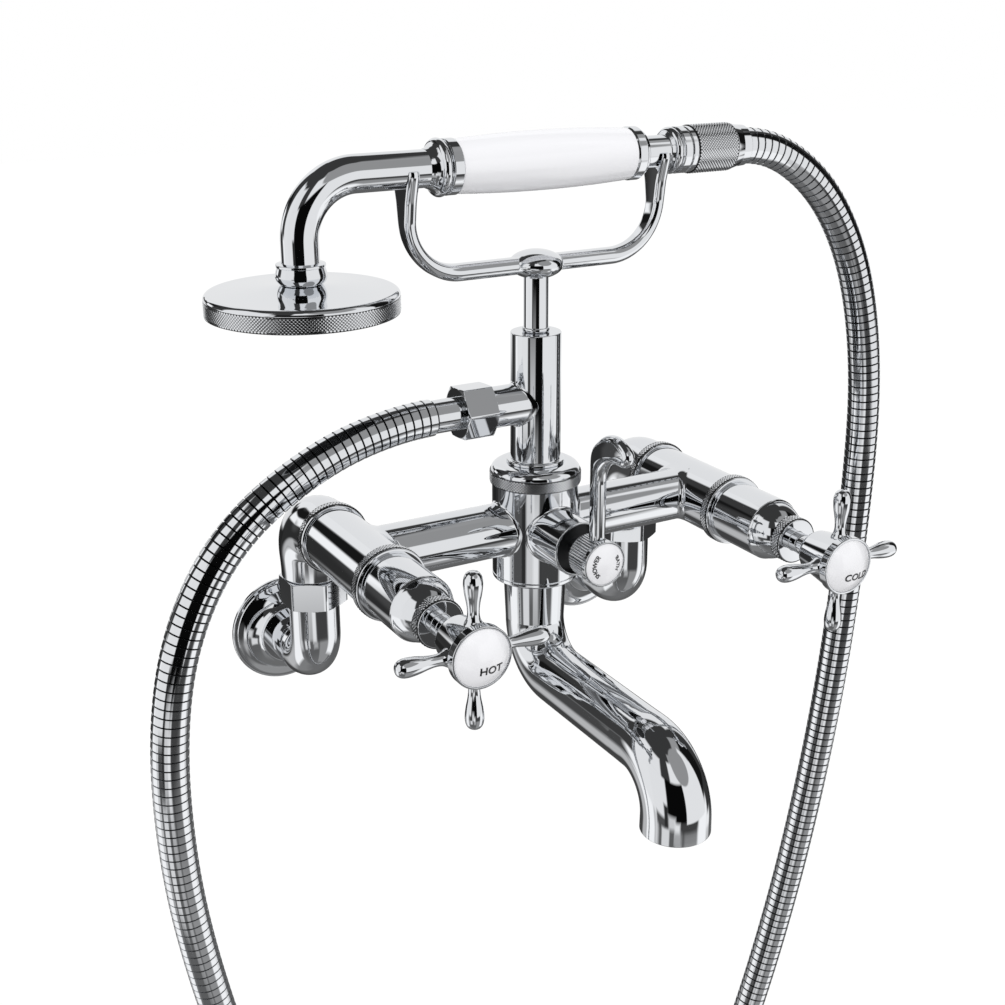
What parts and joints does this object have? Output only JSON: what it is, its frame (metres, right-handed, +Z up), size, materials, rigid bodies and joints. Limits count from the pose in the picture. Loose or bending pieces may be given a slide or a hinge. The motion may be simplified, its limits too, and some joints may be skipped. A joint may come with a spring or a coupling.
{
  "type": "bath shower mixer",
  "caption": "Wall-mounted bath and shower mixer: cross-head handles, diverter lever, bath spout and a telephone-style handset in its cradle on a ribbed metal hose.",
  "frame": {"origin": "on the wall plane, midway between the axes of the two inlets", "axes": "+Z up, +X along the wall towards the cold side, -Y out of the wall towards the user"},
  "size_m": [0.3985, 0.2352, 0.6732],
  "materials": {
    "chrome": "polished chrome plate",
    "porcelain": "glazed white porcelain",
    "brass": "machined brass",
    "steel": "bright steel",
    "rubber": "matt black rubber"
  },
  "bodies": {
    "mixer": {"hot_wall_flange": "chrome", "hot_wall_elbow": "chrome", "hot_union_nut": "chrome", "hot_union_washer": "rubber", "hot_inlet_elbow": "chrome", "hot_rear_ring": "chrome", "hot_valve_body": "chrome", "hot_front_ring": "chrome", "hot_bonnet": "chrome", "hot_collar": "chrome", "hot_cartridge": "brass", "hot_cross_tube": "chrome", "cold_wall_flange": "chrome", "cold_wall_elbow": "chrome", "cold_union_nut": "chrome", "cold_union_washer": "rubber", "cold_inlet_elbow": "chrome", "cold_rear_ring": "chrome", "cold_valve_body": "chrome", "cold_front_ring": "chrome", "cold_bonnet": "chrome", "cold_collar": "chrome", "cold_cartridge": "brass", "cold_cross_tube": "chrome", "centre_body": "chrome", "diverter_cartridge": "brass", "top_nut": "chrome", "riser": "chrome", "riser_seal": "rubber", "post": "chrome", "cradle": "chrome", "spout": "chrome", "flow_straightener": "steel", "tee_nut": "chrome", "tee_washer": "rubber", "hose_ferrule": "steel", "hose": "steel"},
    "hot_tap": {"hot_handle": "chrome", "hot_index": "porcelain", "hot_handle_screw": "steel", "hot_spindle": "steel"},
    "cold_tap": {"cold_handle": "chrome", "cold_index": "porcelain", "cold_handle_screw": "steel", "cold_spindle": "steel"},
    "diverter": {"diverter_lever": "chrome", "diverter_index": "porcelain", "diverter_spindle": "steel"},
    "handset": {"hose_nut": "chrome", "hose_nut_washer": "rubber", "handset_spigot": "chrome", "rear_ferrule": "chrome", "handset_grip": "porcelain", "front_ferrule": "chrome", "handset_neck": "chrome", "rose_collar": "chrome", "rose_shell": "chrome", "spray_plate": "chrome"}
  },
  "joints": [
    {"name": "hot_tap_turn", "type": "hinge", "parent": "mixer", "child": "hot_tap", "pos_m": [-0.09, -0.2, 0.074], "axis": [0, -1, 0], "range_deg": [0, 90]},
    {"name": "cold_tap_turn", "type": "hinge", "parent": "mixer", "child": "cold_tap", "pos_m": [0.09, -0.2, 0.074], "axis": [0, 1, 0], "range_deg": [0, 90]},
    {"name": "diverter_turn", "type": "hinge", "parent": "mixer", "child": "diverter", "pos_m": [0, -0.15, 0.074], "axis": [0, -1, 0], "range_deg": [-45, 45]},
    {"name": "handset_lift", "type": "slide", "parent": "mixer", "child": "handset", "axis": [0, 0, 1], "range_m": [0, 0.07], "deforming": ["hose"]}
  ]
}
